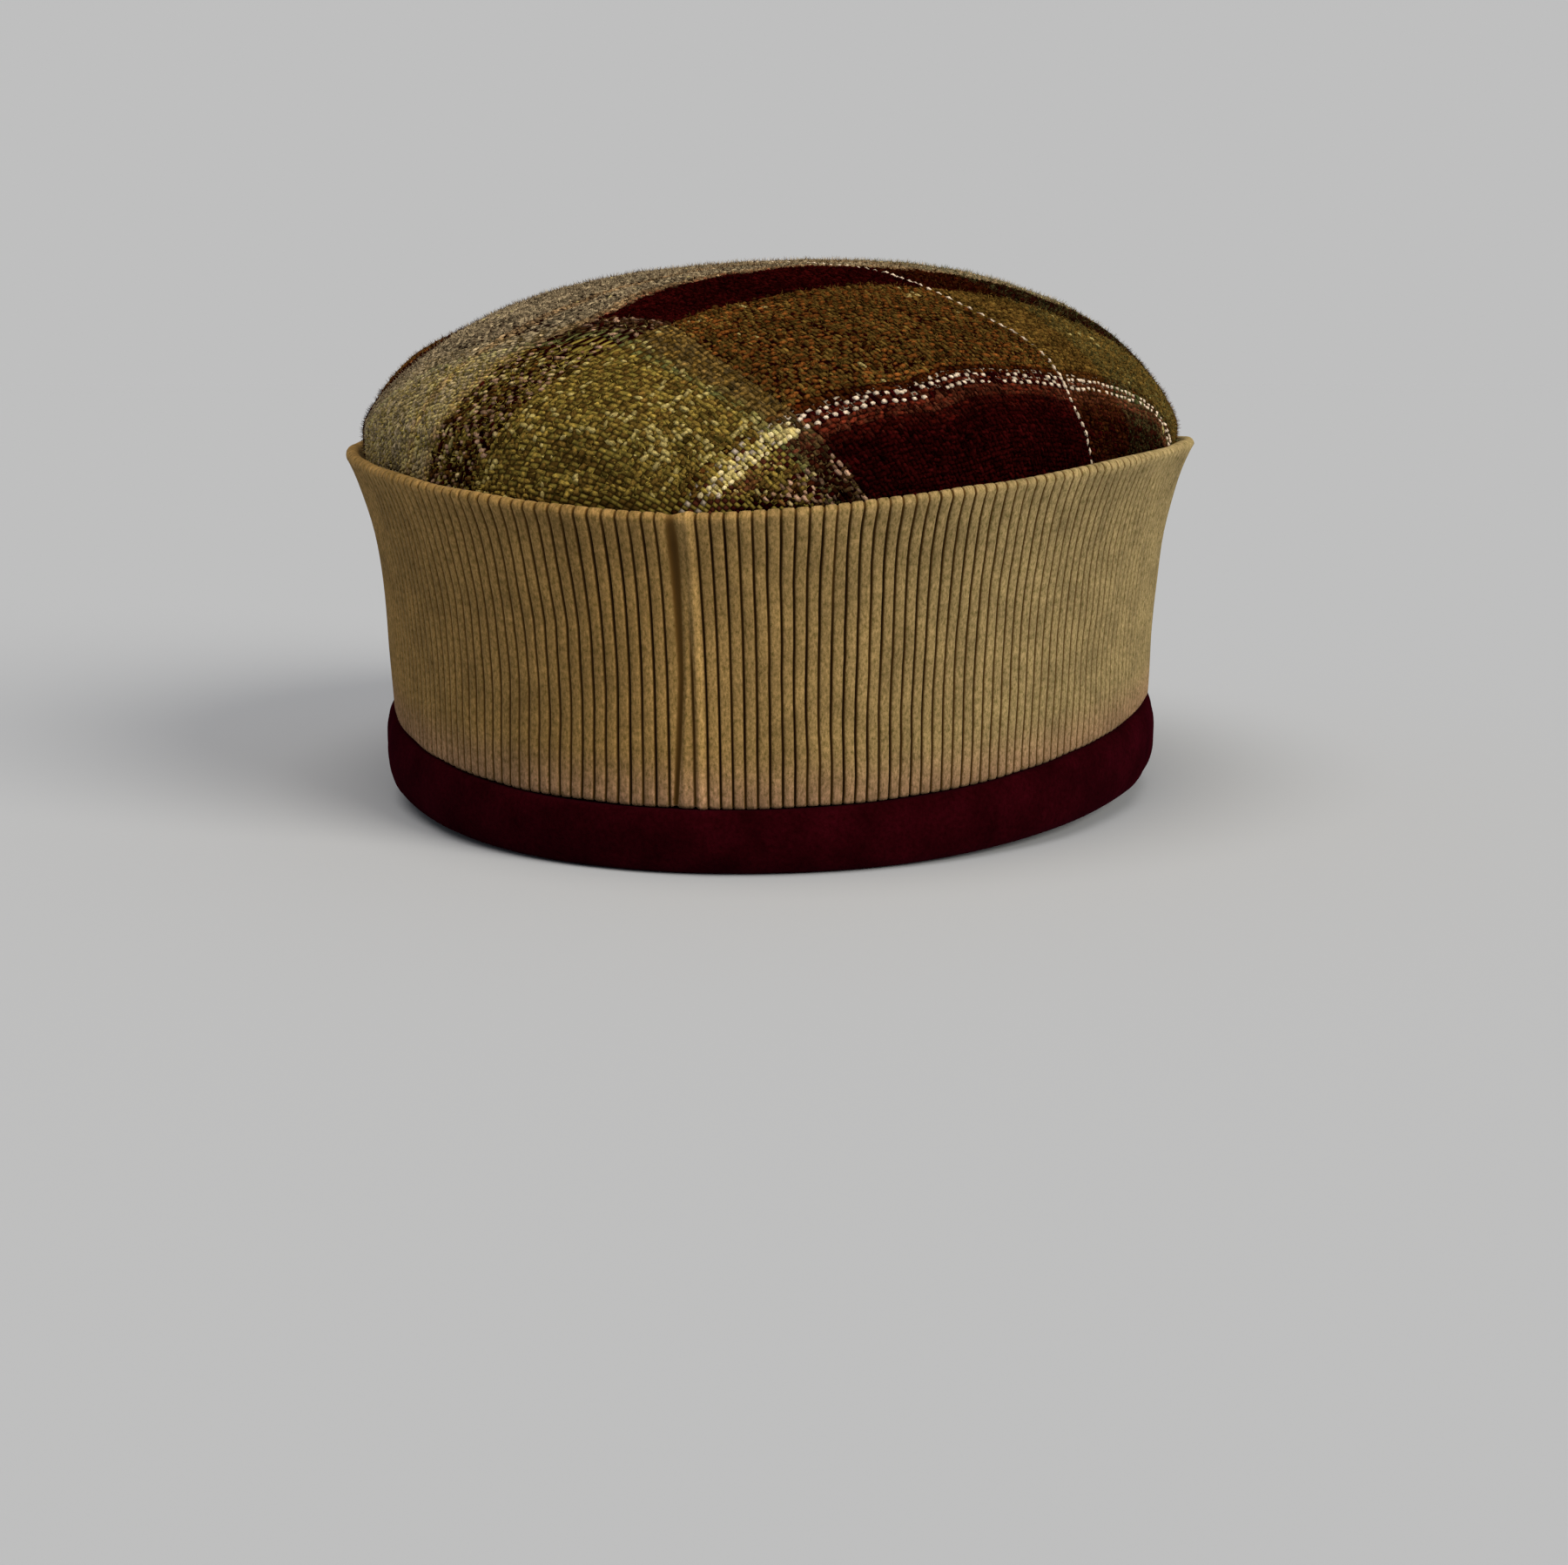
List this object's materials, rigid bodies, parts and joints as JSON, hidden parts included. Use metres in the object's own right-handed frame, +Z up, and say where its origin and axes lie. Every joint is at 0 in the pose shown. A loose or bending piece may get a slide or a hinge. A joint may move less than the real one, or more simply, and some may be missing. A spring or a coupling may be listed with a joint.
{
  "type": "smoking cap",
  "caption": "Round domed cap of soft cloth: a plaid crown, a flared ribbed cuff standing around it and a padded fleece headband, open below for a head.",
  "frame": {"origin": "middle of the head opening, on the surface that the cap rests on", "axes": "+Z up to the crown, +Y towards the wearer's face, +X towards the wearer's right; the cuff's seam is at the back, at -Y"},
  "size_m": [0.1952, 0.2328, 0.12],
  "materials": {
    "plaid_cloth": "coarse chenille plaid in olive, maroon and cream",
    "corduroy": "olive-tan cotton corduroy with upright ribs",
    "fleece": "dark maroon fleece with a short matt pile"
  },
  "bodies": {
    "root": {"crown": "plaid_cloth", "cuff": "corduroy", "headband": "fleece"}
  },
  "joints": []
}
